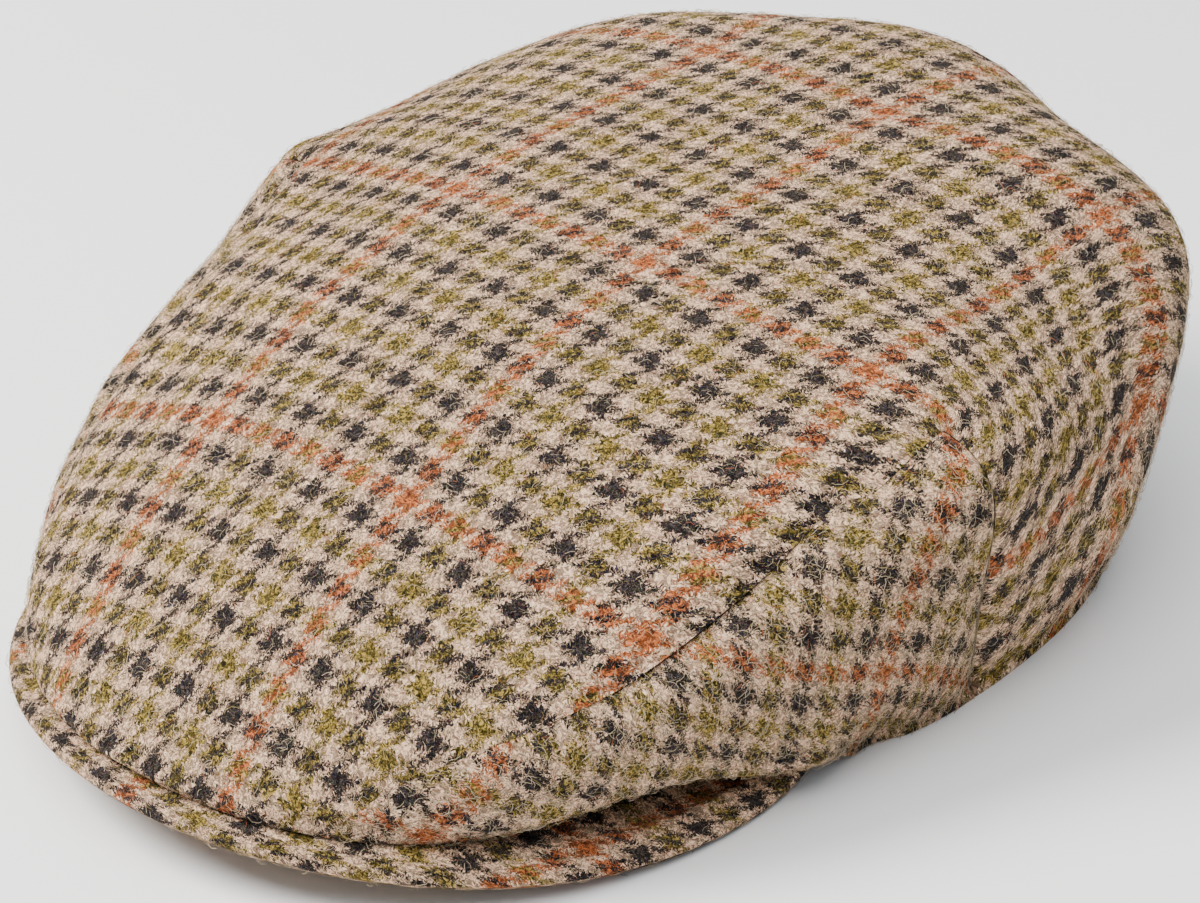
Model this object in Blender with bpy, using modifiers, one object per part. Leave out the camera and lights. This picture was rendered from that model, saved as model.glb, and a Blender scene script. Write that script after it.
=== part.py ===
"""A flat cap of checked wool cloth with a stiff cloth-covered peak.

Metres. The peak points to -Y, the wearer's left is +X and +Z is up. The rim rests on z = 0.
The crown is drawn as a set of sections, one for each turn round its top. Every section starts at
the top and ends at the lower edge. A place on the crown is given by two shares, across and along:
how far out it is as a share of the section's length, split into its sideways and lengthwise part.
"""
import math

import bmesh
import bpy
from mathutils import Vector

# Overall form
WIDTH = 0.205
BACK_REACH = 0.0995
PEAK_REACH = 0.158
WALL = 0.002
PEAK_THICK = 0.005

# Clearances
SEAM_GAP = 0.0003
SEAT_GAP = 0.0004

# Peak: a bent board, its outer edge part of an oval. It ends where it has narrowed to its tip.
PEAK_WIDTH = 0.167
PEAK_DEPTH = 0.090
PEAK_ARCH = 0.012
PEAK_TUCK = 0.004
PEAK_TIP = 0.006
PEAK_ROUND = 0.36 * PEAK_THICK

# Rim of the head opening
RIM_WIDTH = 0.1855
RIM_LENGTH = 0.186
RIM_SQUARENESS = 2.2
RIM_BAND = 0.003

# Shoulder: the widest line of the crown, low in front and high at the back
EDGE_INSET = 0.003
FRONT_WALL = 0.002
FRONT_REACH = PEAK_REACH - EDGE_INSET
SHOULDER_SQUARENESS = 2.1
SHOULDER_PEAR = 0.03
SHOULDER_FRONT = PEAK_ARCH + PEAK_THICK + FRONT_WALL
SHOULDER_BACK = 0.078
SHOULDER_SLOPE = 1.05

# Top and wall of every section
TOP_RISE = 0.030
TOP_FULLNESS = 2.7
TOP_FLATNESS = 1.4
WALL_FULLNESS = 2.7
BEND_EASE = 0.006

# Soft folds of the cloth on both sides: place and spread in degrees, then how far the shoulder
# moves out (share of the width) and up (share of the rise of the top)
FOLDS = (
    # place, spread, out, up
    (45.0, 15.0, 0.005, 0.08),
    (77.0, 15.0, 0.008, 0.40),
    (120.0, 15.0, -0.012, 0.00),
    (152.0, 17.0, -0.034, -0.08),
)

# Front edge of the crown over the peak: place as a share of the turn to the end of the peak, how far
# it stays inside the edge of the peak (share of the peak's depth) and how far it stands off the peak
# (share of the peak's thickness)
SEAT = (
    # place, inset, lift
    (0.00, 0.039, 0.00),
    (0.28, 0.039, 0.02),
    (0.45, 0.072, 0.10),
    (0.62, 0.105, 0.20),
    (0.76, 0.075, 0.20),
    (0.90, -0.010, 0.10),
    (1.00, -0.085, 0.02),
    (1.22, -0.110, 0.00),
)
# Behind the peak the edge comes down to the rim: turns past the end of the peak, in degrees
SEAT_END = 1.0
RIM_START = 6.0
SEAT_EASE = 13.0

# Seam between the top and a side panel, from the tip at the front edge back to the corner
SEAM = (
    # share of the seam, across, along
    (0.00, 0.292, -0.957),
    (0.12, 0.330, -0.868),
    (0.32, 0.426, -0.726),
    (0.46, 0.483, -0.615),
    (0.64, 0.523, -0.455),
    (0.82, 0.534, -0.305),
    (1.00, 0.530, -0.155),
)
# Seam down the wall from the corner to the rim
DOWN_SEAM = (
    # share of the seam, across, along
    (0.00, 0.530, -0.155),
    (0.35, 0.683, -0.164),
    (0.62, 0.809, -0.178),
    (0.85, 0.915, -0.152),
    (1.00, 0.993, -0.118),
)
TIP = math.degrees(math.atan2(SEAM[0][1], -SEAM[0][2]))
FOOT = math.degrees(math.atan2(DOWN_SEAM[-1][1], -DOWN_SEAM[-1][2]))
TIP_SHORT = 1.2
SEAM_DIP = 0.0009
TIP_TAPER = 0.25
FOOT_TAPER = 0.60

# Blocks of faces in the top panel: the corner at the back of the middle block
INNER_ACROSS = 0.43
INNER_ALONG = 0.46
INNER_BOW = 0.07
INNER_TURN = 137.0

# Where the faces of the panels are spaced: shares along each side of a block
TOP_COLUMNS = 9
TOP_LAST = 0.96
CORNER_COLUMNS = 12
CORNER_FIRST = 0.025
SEAM_ROWS = 20
SEAM_LAST = 0.975
SEAM_CROWDING = 1.4
WALL_ROWS = 10
WALL_DIP = 0.03
WALL_FIRST = 0.115
WALL_LAST = 0.965
PEAK_COLUMNS = 16
PEAK_ROWS = 7

WELD = 0.00001
STEPS = 120
EASE_STEPS = 3
TURN_STEP = 0.5
SHARE_STEP = 0.005
ROUND_TURN = 360.0
APEX_Y = (PEAK_REACH - BACK_REACH) / 2


def through(table, column, place):
    """Smooth line through one column of a table, read at a place in its first column."""
    place = min(max(place, table[0][0]), table[-1][0])
    row = 0
    while row < len(table) - 2 and place > table[row + 1][0]:
        row += 1

    def slope(at):
        low, high = max(at - 1, 0), min(at + 1, len(table) - 1)
        return (table[high][column] - table[low][column]) / (table[high][0] - table[low][0])

    span = table[row + 1][0] - table[row][0]
    t = (place - table[row][0]) / span
    ends = table[row][column] * (1 + 2 * t) * (1 - t) ** 2 + table[row + 1][column] * t * t * (3 - 2 * t)
    return ends + span * (slope(row) * t * (1 - t) ** 2 + slope(row + 1) * t * t * (t - 1))


def fade(low, high, value):
    """0 up to low, 1 from high on, smooth between."""
    t = min(max((value - low) / (high - low), 0), 1)
    return t * t * (3 - 2 * t)


def oval(turn, half_width, front, back, squareness):
    """Radius of a squared oval at a turn in degrees from the front."""
    side, ahead = abs(math.sin(math.radians(turn))), math.cos(math.radians(turn))
    length = front if ahead > 0 else back
    return ((side / half_width) ** squareness + (abs(ahead) / length) ** squareness) ** (-1 / squareness)


def from_front(turn):
    """Degrees away from the front, on either side."""
    return abs((turn + ROUND_TURN / 2) % ROUND_TURN - ROUND_TURN / 2)


def folds(turn, column):
    """Sum of the folds of both sides at a turn."""
    total = 0
    for row in FOLDS:
        for place in (row[0], -row[0]):
            total += row[column] * math.exp(-(from_front(turn - place) / row[1]) ** 2)
    return total


def shoulder_radius(turn):
    """Plan radius of the shoulder."""
    front, back = FRONT_REACH / (1 + SHOULDER_PEAR), BACK_REACH / (1 - SHOULDER_PEAR)
    radius = oval(turn, WIDTH / 2, front, back, SHOULDER_SQUARENESS)
    return radius * (1 + SHOULDER_PEAR * math.cos(3 * math.radians(turn))) + WIDTH * folds(turn, 2)


def shoulder_height(ahead):
    """Height of the shoulder line, given the distance in front of the apex."""
    back_share = min(max((FRONT_REACH - ahead) / (FRONT_REACH + BACK_REACH), 0), 1)
    return SHOULDER_FRONT + (SHOULDER_BACK - SHOULDER_FRONT) * back_share ** SHOULDER_SLOPE


def peak_height(x):
    """Height of the underside of the peak."""
    return PEAK_ARCH * max(1 - (2 * x / PEAK_WIDTH) ** 2, 0)


def peak_radius(turn):
    """Distance from the apex to the outer edge of the peak in plan."""
    side, ahead = math.sin(math.radians(turn)), math.cos(math.radians(turn))
    centre = PEAK_REACH - PEAK_DEPTH
    a = (2 * side / PEAK_WIDTH) ** 2 + (ahead / PEAK_DEPTH) ** 2
    b = -2 * ahead * centre / PEAK_DEPTH ** 2
    c = (centre / PEAK_DEPTH) ** 2 - 1
    return (-b + math.sqrt(max(b * b - 4 * a * c, 0))) / (2 * a)


def rim_radius(turn):
    """Plan radius of the rim of the head opening."""
    return oval(turn, RIM_WIDTH / 2, RIM_LENGTH / 2, RIM_LENGTH / 2, RIM_SQUARENESS)


def peak_inside(turn):
    """Plan radius of the peak's inner edge, just inside the head opening."""
    return rim_radius(turn) - PEAK_TUCK


def find_peak_end():
    """Turn at which the peak has narrowed to its tip."""
    turn = 0
    while peak_radius(turn) - peak_inside(turn) > PEAK_TIP:
        turn += TURN_STEP
    return turn


def lower_edge(turn):
    """Radius and height of the crown's lower edge: on the peak in front, on the rim behind."""
    away = from_front(turn)
    place = away / PEAK_END
    seat = peak_radius(turn) - PEAK_DEPTH * through(SEAT, 1, place)
    behind = fade(PEAK_END + SEAT_END, PEAK_END + SEAT_EASE, away)
    radius = seat * (1 - behind) + rim_radius(turn) * behind
    x = radius * math.sin(math.radians(turn))
    height = peak_height(x) + PEAK_THICK * (1 + through(SEAT, 2, place)) + SEAT_GAP
    return radius, height * (1 - fade(PEAK_END + SEAT_END, PEAK_END + RIM_START, away))


PEAK_END = find_peak_end()


def section(turn):
    """Radius and height of every step of a section, from the apex to the lower edge."""
    reach = shoulder_radius(turn)
    ahead = math.cos(math.radians(turn))
    lift = TOP_RISE * folds(turn, 3)
    line = []
    for step in range(STEPS + 1):
        angle = math.pi / 2 * step / STEPS
        out = math.sin(angle) ** (2 / TOP_FULLNESS)
        up = math.cos(angle) ** (2 / TOP_FLATNESS)
        line.append((reach * out, shoulder_height(reach * out * ahead) + lift * out ** 4 + TOP_RISE * up))
    top = line[-1][1]
    foot_radius, foot = lower_edge(turn)
    band = min(RIM_BAND, (top - foot) / 2)
    for step in range(1, STEPS // 2 + 1):
        down = 2 * step / STEPS
        radius = foot_radius + (reach - foot_radius) * (1 - down ** WALL_FULLNESS)
        line.append((radius, top + (foot + band - top) * down))
    line.append((foot_radius, foot))
    return line


def at_distance(line, runs, distance):
    """Radius and height at a distance along a section."""
    step = 0
    while step < len(runs) - 1 and distance > runs[step]:
        distance -= runs[step]
        step += 1
    part = distance / runs[step]
    return blend(line[step], line[step + 1], part)


def on_crown(across, along):
    """Point of the crown's outside at a place given by its shares across and along."""
    share = min(math.hypot(across, along), 1)
    turn = math.degrees(math.atan2(across, -along))
    line = section(turn)
    runs = [math.dist(start, end) for start, end in zip(line, line[1:])]
    length = sum(runs)
    place = share * length
    ease = max(min(BEND_EASE, place, length - RIM_BAND - place), 0)
    samples = range(-EASE_STEPS, EASE_STEPS + 1)
    near = [at_distance(line, runs, place + ease * step / EASE_STEPS) for step in samples]
    radius = sum(point[0] for point in near) / len(near)
    height = sum(point[1] for point in near) / len(near)
    return Vector((radius * math.sin(math.radians(turn)), APEX_Y - radius * math.cos(math.radians(turn)), height))


def cloth_point(place, dip):
    """Point of the outside at a place, sunk by the dip of a seam."""
    point = on_crown(*place)
    if dip <= 0:
        return point
    step = SHARE_STEP / 2
    across = on_crown(place[0] + step, place[1]) - on_crown(place[0] - step, place[1])
    along = on_crown(place[0], place[1] + step) - on_crown(place[0], place[1] - step)
    return point - across.cross(along).normalized() * dip


def nudge(place, across, along):
    """A place moved by two distances in metres over the cloth."""
    here = on_crown(*place)
    per_across = (on_crown(place[0] - SHARE_STEP, place[1]) - here).length / SHARE_STEP
    per_along = (on_crown(place[0], place[1] + SHARE_STEP) - here).length / SHARE_STEP
    return place[0] + across / per_across, place[1] + along / per_along


def blend(start, end, t):
    """A place between two places."""
    return start[0] + (end[0] - start[0]) * t, start[1] + (end[1] - start[1]) * t


def at_edge(turn):
    """The place on the lower edge at a turn."""
    return math.sin(math.radians(turn)), -math.cos(math.radians(turn))


def top_seam(share, side):
    """The seam at a share of its length; side is -1 for the top panel and 1 for the side panel."""
    gap = side * SEAM_GAP / 2
    return nudge((through(SEAM, 1, share), through(SEAM, 2, share)), gap, -gap * share)


def down_seam(share, side):
    """The seam down the wall; side is -1 for the top panel and 1 for the side panel."""
    gap = side * SEAM_GAP / 2
    return nudge((through(DOWN_SEAM, 1, share), through(DOWN_SEAM, 2, share)), gap * (1 - share), -gap)


def four_sided(low, high, left, right, u, v):
    """Place inside four curves: low and high run with u, left and right run with v."""
    sides = blend(left(v), right(v), u)
    ends = blend(low(u), high(u), v)
    corners = blend(blend(low(0), low(1), u), blend(high(0), high(1), u), v)
    return sides[0] + ends[0] - corners[0], sides[1] + ends[1] - corners[1]


def patch(bm, columns, rows, locate):
    """Adds a grid with each corner put where locate says; columns and rows list its shares."""
    made = bmesh.ops.create_grid(bm, x_segments=len(columns) - 1, y_segments=len(rows) - 1, size=0.5)
    for vert in made["verts"]:
        column = round((vert.co.x + 0.5) * (len(columns) - 1))
        row = round((vert.co.y + 0.5) * (len(rows) - 1))
        vert.co = locate(columns[column], rows[row])


def even(count, start=0.0, end=1.0):
    """Evenly spaced shares."""
    return [start + (end - start) * step / count for step in range(count + 1)]


def finish(bm, name, colour, mirror, thickness, offset):
    """Turns a sheet into a named solid with its own material."""
    bmesh.ops.remove_doubles(bm, verts=bm.verts[:], dist=WELD)
    bmesh.ops.recalc_face_normals(bm, faces=bm.faces[:])
    middle = sorted(bm.faces, key=lambda face: face.calc_area())[-1]
    if middle.normal.z < 0:
        bmesh.ops.reverse_faces(bm, faces=bm.faces[:])
    for face in bm.faces:
        face.smooth = True
    mesh = bpy.data.meshes.new(name)
    bm.to_mesh(mesh)
    bm.free()
    obj = bpy.data.objects.new(name, mesh)
    parts.objects.link(obj)
    if mirror:
        both = obj.modifiers.new("Both sides", "MIRROR")
        both.use_axis = (True, False, False)
        both.use_clip = True
        both.merge_threshold = WELD
    shell = obj.modifiers.new("Cloth", "SOLIDIFY")
    shell.thickness = thickness
    shell.offset = offset
    material = bpy.data.materials.new(name + "_cloth")
    material.use_nodes = True
    shader = material.node_tree.nodes["Principled BSDF"]
    shader.inputs["Base Color"].default_value = (*colour, 1.0)
    shader.inputs["Roughness"].default_value = 0.9
    mesh.materials.append(material)
    return obj


# Rows of faces along the top seam and down the wall, shared by the panels on both sides of a seam
SEAM_STEPS = [SEAM_LAST * share ** SEAM_CROWDING for share in even(SEAM_ROWS)] + [1.0]
WALL_STEPS = [0.0, WALL_DIP] + even(WALL_ROWS, WALL_FIRST, WALL_LAST) + [1.0]


def down_dip(share):
    """How far the cloth dips at the seam down the wall; it's flat again at the rim."""
    return SEAM_DIP * (1 - fade(FOOT_TAPER, WALL_STEPS[-2], share))


def crown_top():
    """One panel from the front edge over the top and down the back, as half a panel mirrored."""
    columns = even(TOP_COLUMNS, 0.0, TOP_LAST) + [1.0]
    wall_columns = [0.0] + even(CORNER_COLUMNS, CORNER_FIRST, 1.0)
    inner = (INNER_ACROSS, INNER_ALONG)
    corner = top_seam(1, -1)
    bm = bmesh.new()

    def front(u, v):
        place = four_sided(
            lambda s: at_edge(TIP * s) if s < 1 else top_seam(0, -1),
            lambda s: (corner[0] * s, corner[1]),
            lambda s: (0, -1 + (1 + corner[1]) * s),
            lambda s: top_seam(s, -1),
            u, v)
        return cloth_point(place, SEAM_DIP * fade(0, TIP_TAPER, v) if u == 1 else 0)

    def middle(u, v):
        across = blend(corner, inner, v)
        place = (across[0] * u, across[1] + INNER_BOW * v * (1 - u * u))
        return cloth_point(place, SEAM_DIP if u == 1 and v == 0 else 0)

    def side_wall(u, v):
        place = four_sided(
            lambda s: blend(corner, inner, s),
            lambda s: at_edge(FOOT + (INNER_TURN - FOOT) * s) if s > 0 else down_seam(1, -1),
            lambda s: down_seam(s, -1),
            lambda s: blend(inner, at_edge(INNER_TURN), s),
            u, v)
        return cloth_point(place, down_dip(v) if u == 0 else 0)

    def back_wall(u, v):
        start = (INNER_ACROSS * u, INNER_ALONG + INNER_BOW * (1 - u * u))
        return cloth_point(blend(start, at_edge(180 + (INNER_TURN - 180) * u), v), 0)

    patch(bm, columns, SEAM_STEPS, front)
    patch(bm, columns, wall_columns, middle)
    patch(bm, wall_columns, WALL_STEPS, side_wall)
    patch(bm, columns, WALL_STEPS, back_wall)
    finish(bm, "crown_top", (0.33, 0.24, 0.18), True, WALL, -1)


def side_panel(name, side, colour):
    """Panel of one side, from its tip at the front back to the seam down the wall."""
    start = SEAM_STEPS[1]
    tip = TIP + TIP_SHORT
    bm = bmesh.new()

    def locate(seam_share, v):
        place = four_sided(
            lambda s: top_seam(start + (1 - start) * s, 1),
            lambda s: at_edge(tip + (FOOT - tip) * s) if s < 1 else down_seam(1, 1),
            lambda s: blend(top_seam(start, 1), at_edge(tip), s),
            lambda s: down_seam(s, 1),
            (seam_share - start) / (1 - start), v)
        dip = 0
        if v == 0:
            dip = SEAM_DIP * fade(0, TIP_TAPER, seam_share)
        if seam_share == 1:
            dip = down_dip(v)
        point = cloth_point(place, dip)
        point.x *= side
        return point

    patch(bm, SEAM_STEPS[1:], WALL_STEPS, locate)
    finish(bm, name, colour, False, WALL, -1)


def peak():
    """The stiff peak, bent across and rounded at its edges."""
    bm = bmesh.new()

    def locate(u, v):
        turn = PEAK_END * u
        inside = peak_inside(turn)
        radius = inside + (peak_radius(turn) - inside) * v
        x = radius * math.sin(math.radians(turn))
        return Vector((x, APEX_Y - radius * math.cos(math.radians(turn)), peak_height(x)))

    patch(bm, even(PEAK_COLUMNS), even(PEAK_ROWS), locate)
    obj = finish(bm, "peak", (0.27, 0.19, 0.14), True, PEAK_THICK, 1)
    edge = obj.modifiers.new("Rounded edge", "BEVEL")
    edge.width = PEAK_ROUND
    edge.segments = 3
    edge.limit_method = "ANGLE"
    edge.angle_limit = math.radians(40)


for old in list(bpy.data.objects):
    bpy.data.objects.remove(old, do_unlink=True)

parts = bpy.data.collections.new("flat_cap")
bpy.context.scene.collection.children.link(parts)

crown_top()
side_panel("side_panel_left", 1, (0.30, 0.22, 0.16))
side_panel("side_panel_right", -1, (0.30, 0.22, 0.16))
peak()
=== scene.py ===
"""A flat cap of checked wool cloth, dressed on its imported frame: cloth panels, seams, peak and wool fuzz."""
import math

import bmesh
import bpy
import numpy as np
from mathutils import Matrix, Vector


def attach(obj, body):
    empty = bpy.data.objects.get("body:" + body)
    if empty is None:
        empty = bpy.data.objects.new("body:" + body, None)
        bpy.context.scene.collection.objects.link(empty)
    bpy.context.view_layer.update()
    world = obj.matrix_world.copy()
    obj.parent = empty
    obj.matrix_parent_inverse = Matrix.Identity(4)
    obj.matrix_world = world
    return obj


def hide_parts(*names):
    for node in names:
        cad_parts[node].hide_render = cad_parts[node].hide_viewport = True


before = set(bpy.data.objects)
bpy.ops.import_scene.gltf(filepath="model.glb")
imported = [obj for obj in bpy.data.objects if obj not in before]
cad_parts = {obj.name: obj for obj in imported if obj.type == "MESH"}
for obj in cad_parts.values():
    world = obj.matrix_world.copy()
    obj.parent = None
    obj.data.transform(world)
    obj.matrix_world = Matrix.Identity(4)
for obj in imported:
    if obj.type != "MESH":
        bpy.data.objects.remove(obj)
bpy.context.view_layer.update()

MM = 0.001

# The seams, drawn closer than in the frame. The one down the wall is pulled open by its stitches:
# the wider gap, and the shares of the seam between which it opens
SEAM_GAP = 0.00006
DOWN_GAP = 0.00045
DOWN_OPENS = (0.2, 0.5)

# Form of the cap, in metres, the same values as its frame
WIDTH = 0.205
BACK_REACH = 0.0995
PEAK_REACH = 0.158
WALL = 0.002
PEAK_THICK = 0.005
SEAT_GAP = 0.0004
PEAK_WIDTH = 0.167
PEAK_DEPTH = 0.090
PEAK_ARCH = 0.012
PEAK_TUCK = 0.004
PEAK_TIP = 0.006
RIM_WIDTH = 0.1855
RIM_LENGTH = 0.186
RIM_SQUARENESS = 2.2
RIM_BAND = 0.003
EDGE_INSET = 0.003
FRONT_WALL = 0.002
FRONT_REACH = PEAK_REACH - EDGE_INSET
SHOULDER_SQUARENESS = 2.1
SHOULDER_PEAR = 0.03
SHOULDER_FRONT = PEAK_ARCH + PEAK_THICK + FRONT_WALL
SHOULDER_BACK = 0.078
SHOULDER_SLOPE = 1.05
TOP_RISE = 0.030
TOP_FULLNESS = 2.7
TOP_FLATNESS = 1.4
WALL_FULLNESS = 2.7
BEND_EASE = 0.006
FOLDS = (
    # place, spread, out, up
    (45.0, 15.0, 0.005, 0.08),
    (77.0, 15.0, 0.008, 0.40),
    (120.0, 15.0, -0.012, 0.00),
    (152.0, 17.0, -0.034, -0.08),
)
SEAT = (
    # place, inset, lift
    (0.00, 0.039, 0.00),
    (0.28, 0.039, 0.02),
    (0.45, 0.072, 0.10),
    (0.62, 0.105, 0.20),
    (0.76, 0.075, 0.20),
    (0.90, -0.010, 0.10),
    (1.00, -0.085, 0.02),
    (1.22, -0.110, 0.00),
)
SEAT_END = 1.0
RIM_START = 6.0
SEAT_EASE = 13.0
SEAM = (
    # share of the seam, across, along
    (0.00, 0.292, -0.957),
    (0.12, 0.330, -0.868),
    (0.32, 0.426, -0.726),
    (0.46, 0.483, -0.615),
    (0.64, 0.523, -0.455),
    (0.82, 0.534, -0.305),
    (1.00, 0.530, -0.155),
)
DOWN_SEAM = (
    # share of the seam, across, along
    (0.00, 0.530, -0.155),
    (0.35, 0.683, -0.164),
    (0.62, 0.809, -0.178),
    (0.85, 0.915, -0.152),
    (1.00, 0.993, -0.118),
)
TIP = math.degrees(math.atan2(SEAM[0][1], -SEAM[0][2]))
FOOT = math.degrees(math.atan2(DOWN_SEAM[-1][1], -DOWN_SEAM[-1][2]))
TIP_SHORT = 1.2
INNER_ACROSS = 0.43
INNER_ALONG = 0.46
INNER_BOW = 0.07
INNER_TURN = 137.0
STEPS = 120
EASE_STEPS = 3
TURN_STEP = 0.5
APEX_Y = (PEAK_REACH - BACK_REACH) / 2
TURNS = 720
SHARES = 400

# Small uneven places of this cap, turns below 0 on the wearer's right: turn, its spread, share of the
# section, its spread, then how far the cloth moves out and up in millimetres
CROWN_MOVES = (
    (-80, 20, 0.60, 0.30, -0.9, -0.8),
    (-77, 5, 0.585, 0.035, 0.8, 1.3),
    (-52, 12, 0.70, 0.30, 0.8, 0.2),
    (-32, 14, 0.85, 0.25, -0.6, -0.2),
    (-155, 25, 0.50, 0.25, 0.0, 1.0),
    (122, 22, 0.66, 0.25, 0.3, 0.3),
    (128, 18, 0.50, 0.20, 1.2, 0.8),
    (95, 22, 0.92, 0.20, -2.2, 0.0),
    (90, 14, 0.55, 0.10, 0.6, 0.3),
    (63, 5, 0.99, 0.08, -1.2, 0.0),
    # the fold over the peak on each side: a full lip, and the cloth tucked in under it
    (30, 8, 0.975, 0.050, 1.5, -1.5),
    (40, 8, 0.965, 0.030, 2.0, 1.5),
    (42, 11, 1.00, 0.016, -13.0, 1.9),
    (52, 8, 0.975, 0.040, 0.6, -1.5),
    (-42, 11, 0.965, 0.030, 1.5, 0.8),
    (-42, 11, 1.00, 0.016, -8.0, 1.6),
)

# Below the first height the rim stays on the floor, and above the second the moves are whole
RISE_FREE = (0.004, 0.012)

# Check of the cloth: its repeat, the repeats from one orange line to the next over the cloth and
# along it, and how many of a repeat's eight yarns look coloured
REPEAT = 7.0 * MM
ORANGE_ACROSS, ORANGE_ALONG, SIDE_ORANGE_ALONG = 8, 10, 12
COLOURED_YARNS = 4.7
# The peak's cloth lies a little askew: its turn, and where an orange line of each kind runs
PEAK_SKEW = math.radians(8)
PEAK_LINE = (82.3 * MM, -65.5 * MM)
# Where the orange lines of the check run, and a few places between them: turn, share, then the
# place in the check across (a) and along (b), in repeats; None where only the other one is known
TOP_PINS = (
    (-19, 0.643, 0, 0), (11.4, 0.601, 8, 0), (38.8, 0.736, 16, 0),
    (-55, 0.296, 0, 10), (30.3, 0.192, 8, 10), (70.4, 0.450, 16, 10),
    (-146, 0.273, 0, 20), (149, 0.266, 8, 20), (121, 0.489, 16, 20),
    (73.5, 0.550, 18.3, 9.5), (-73.5, 0.550, -8.7, 10.3),
    (-7, 0.974, 0, None), (10.2, 0.969, 8, None), (34.7, 0.815, 16, None), (90, 0.439, 16, None),
    (104.2, 0.451, 16, None), (78, 0.760, 24, None), (91, 0.702, 24, None), (100.3, 0.654, 24, 20),
    (-35.4, 0.782, None, 0), (110, 0.597, None, 20), (103.5, 0.882, None, 20), (0, 0.995, None, -9.4),
    (83, 0.975, 28, None),
)
SIDE_PINS = (
    (62.7, 0.83, 0, 0), (41.8, 0.746, 0, -6.7), (82.4, 0.978, 0, 6.2),
    (72.3, 0.609, -6.0, 0), (68.6, 0.664, None, 0), (63.0, 0.972, None, 0),
    (55.7, 0.822, 0, None), (24, 0.965, None, -12), (28, 0.895, None, -12),
)


# ---------------------------------------------------------------- the drawn form

def through(table, column, place):
    """Smooth line through one column of a table, read at a place in its first column."""
    place = min(max(place, table[0][0]), table[-1][0])
    row = 0
    while row < len(table) - 2 and place > table[row + 1][0]:
        row += 1

    def slope(at):
        low, high = max(at - 1, 0), min(at + 1, len(table) - 1)
        return (table[high][column] - table[low][column]) / (table[high][0] - table[low][0])

    span = table[row + 1][0] - table[row][0]
    t = (place - table[row][0]) / span
    ends = table[row][column] * (1 + 2 * t) * (1 - t) ** 2 + table[row + 1][column] * t * t * (3 - 2 * t)
    return ends + span * (slope(row) * t * (1 - t) ** 2 + slope(row + 1) * t * t * (t - 1))


def fade(low, high, value):
    """0 up to low, 1 from high on, smooth between; takes single values and arrays."""
    t = np.clip((value - low) / (high - low), 0, 1)
    return t * t * (3 - 2 * t)


def bump(value, middle, spread):
    """A soft hill of height 1."""
    return np.exp(-((value - middle) / spread) ** 2)


def oval(turn, half_width, front, back, squareness):
    side, ahead = abs(math.sin(math.radians(turn))), math.cos(math.radians(turn))
    length = front if ahead > 0 else back
    return ((side / half_width) ** squareness + (abs(ahead) / length) ** squareness) ** (-1 / squareness)


def from_front(turn):
    return abs((turn + 180) % 360 - 180)


def folds(turn, column):
    total = 0
    for row in FOLDS:
        for place in (row[0], -row[0]):
            total += row[column] * math.exp(-(from_front(turn - place) / row[1]) ** 2)
    return total


def shoulder_radius(turn):
    front, back = FRONT_REACH / (1 + SHOULDER_PEAR), BACK_REACH / (1 - SHOULDER_PEAR)
    radius = oval(turn, WIDTH / 2, front, back, SHOULDER_SQUARENESS)
    return radius * (1 + SHOULDER_PEAR * math.cos(3 * math.radians(turn))) + WIDTH * folds(turn, 2)


def shoulder_height(ahead):
    back_share = min(max((FRONT_REACH - ahead) / (FRONT_REACH + BACK_REACH), 0), 1)
    return SHOULDER_FRONT + (SHOULDER_BACK - SHOULDER_FRONT) * back_share ** SHOULDER_SLOPE


def peak_height(x):
    """Height of the underside of the peak."""
    return PEAK_ARCH * max(1 - (2 * x / PEAK_WIDTH) ** 2, 0)


def peak_radius(turn):
    side, ahead = math.sin(math.radians(turn)), math.cos(math.radians(turn))
    centre = PEAK_REACH - PEAK_DEPTH
    a = (2 * side / PEAK_WIDTH) ** 2 + (ahead / PEAK_DEPTH) ** 2
    b = -2 * ahead * centre / PEAK_DEPTH ** 2
    c = (centre / PEAK_DEPTH) ** 2 - 1
    return (-b + math.sqrt(max(b * b - 4 * a * c, 0))) / (2 * a)


def rim_radius(turn):
    return oval(turn, RIM_WIDTH / 2, RIM_LENGTH / 2, RIM_LENGTH / 2, RIM_SQUARENESS)


def peak_inside(turn):
    return rim_radius(turn) - PEAK_TUCK


def find_peak_end():
    turn = 0
    while peak_radius(turn) - peak_inside(turn) > PEAK_TIP:
        turn += TURN_STEP
    return turn


PEAK_END = find_peak_end()


def lower_edge(turn):
    """Radius and height of the crown's lower edge: on the peak in front, on the rim behind."""
    away = from_front(turn)
    place = away / PEAK_END
    seat = peak_radius(turn) - PEAK_DEPTH * through(SEAT, 1, place)
    behind = fade(PEAK_END + SEAT_END, PEAK_END + SEAT_EASE, away)
    radius = seat * (1 - behind) + rim_radius(turn) * behind
    x = radius * math.sin(math.radians(turn))
    height = peak_height(x) + PEAK_THICK * (1 + through(SEAT, 2, place)) + SEAT_GAP
    return radius, height * (1 - fade(PEAK_END + SEAT_END, PEAK_END + RIM_START, away))


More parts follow.
